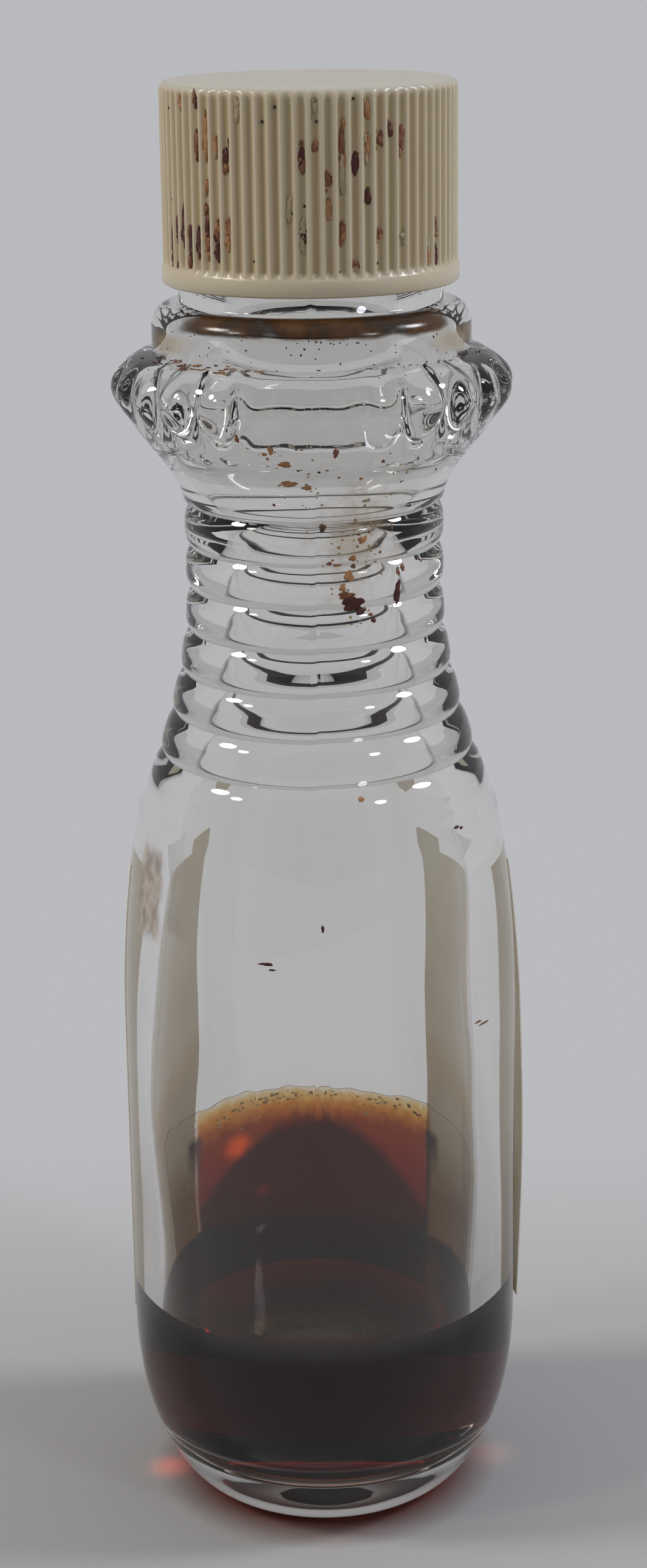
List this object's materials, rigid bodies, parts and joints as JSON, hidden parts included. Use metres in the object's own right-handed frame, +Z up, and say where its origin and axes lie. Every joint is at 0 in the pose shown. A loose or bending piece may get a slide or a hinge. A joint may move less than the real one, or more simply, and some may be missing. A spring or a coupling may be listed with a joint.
{
  "type": "flavoring extract bottle",
  "caption": "Small clear glass bottle with ringed neck and beaded collar, ribbed cream screw cap, dark extract in the bottom and narrow paper labels on its sides.",
  "frame": {"origin": "middle of the plane that the bottle stands on, on the bottle's axis", "axes": "+Z up along the bottle's axis, -Y out of the wide bare side of the glass, and the two labels on -X and +X, a little behind the middle"},
  "size_m": [0.0393, 0.0378, 0.1369],
  "materials": {
    "clear_glass": "clear, thick pressed-and-blown container glass",
    "cream_plastic": "moulded cream plastic with a soft sheen",
    "dark_extract": "clear dark red-brown liquid",
    "label_paper": "matte paper, aged tan on the back that shows through the glass"
  },
  "bodies": {
    "root": {"glass_bottle": "clear_glass", "screw_cap": "cream_plastic", "extract": "dark_extract", "label_left": "label_paper", "label_right": "label_paper"}
  },
  "joints": []
}
